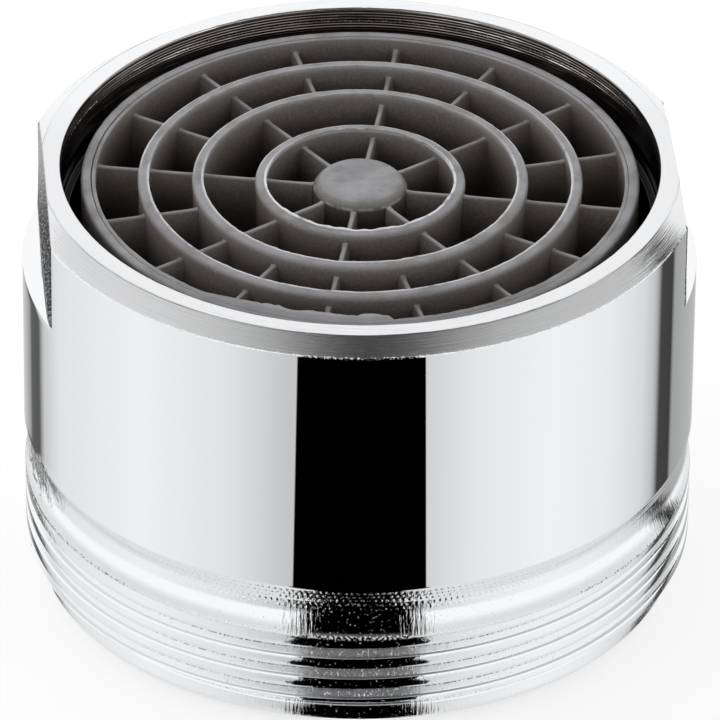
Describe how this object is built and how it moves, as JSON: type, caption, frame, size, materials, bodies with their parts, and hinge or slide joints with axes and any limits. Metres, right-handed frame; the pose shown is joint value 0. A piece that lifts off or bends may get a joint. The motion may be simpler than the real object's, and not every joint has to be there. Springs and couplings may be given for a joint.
{
  "type": "tap aerator",
  "caption": "Chrome-plated tap aerator with a male thread, spanner flats and a grey moulded ring-and-spoke outlet grille.",
  "frame": {"origin": "on the axis, in the washer's sealing face, on which the part stands with its outlet up", "axes": "+Z along the axis from the inlet to the outlet, +X square to one of the two spanner flats"},
  "size_m": [0.028, 0.028, 0.0191],
  "materials": {
    "chrome": "polished chrome plating on turned brass",
    "grey_plastic": "moulded, satin",
    "rubber": "matt, moulded"
  },
  "bodies": {
    "root": {"housing": "chrome", "sealing_washer": "rubber", "strainer": "grey_plastic", "jet_plate": "grey_plastic", "insert_sleeve": "grey_plastic", "mixing_grid": "grey_plastic", "outlet_grille": "grey_plastic"}
  },
  "joints": []
}
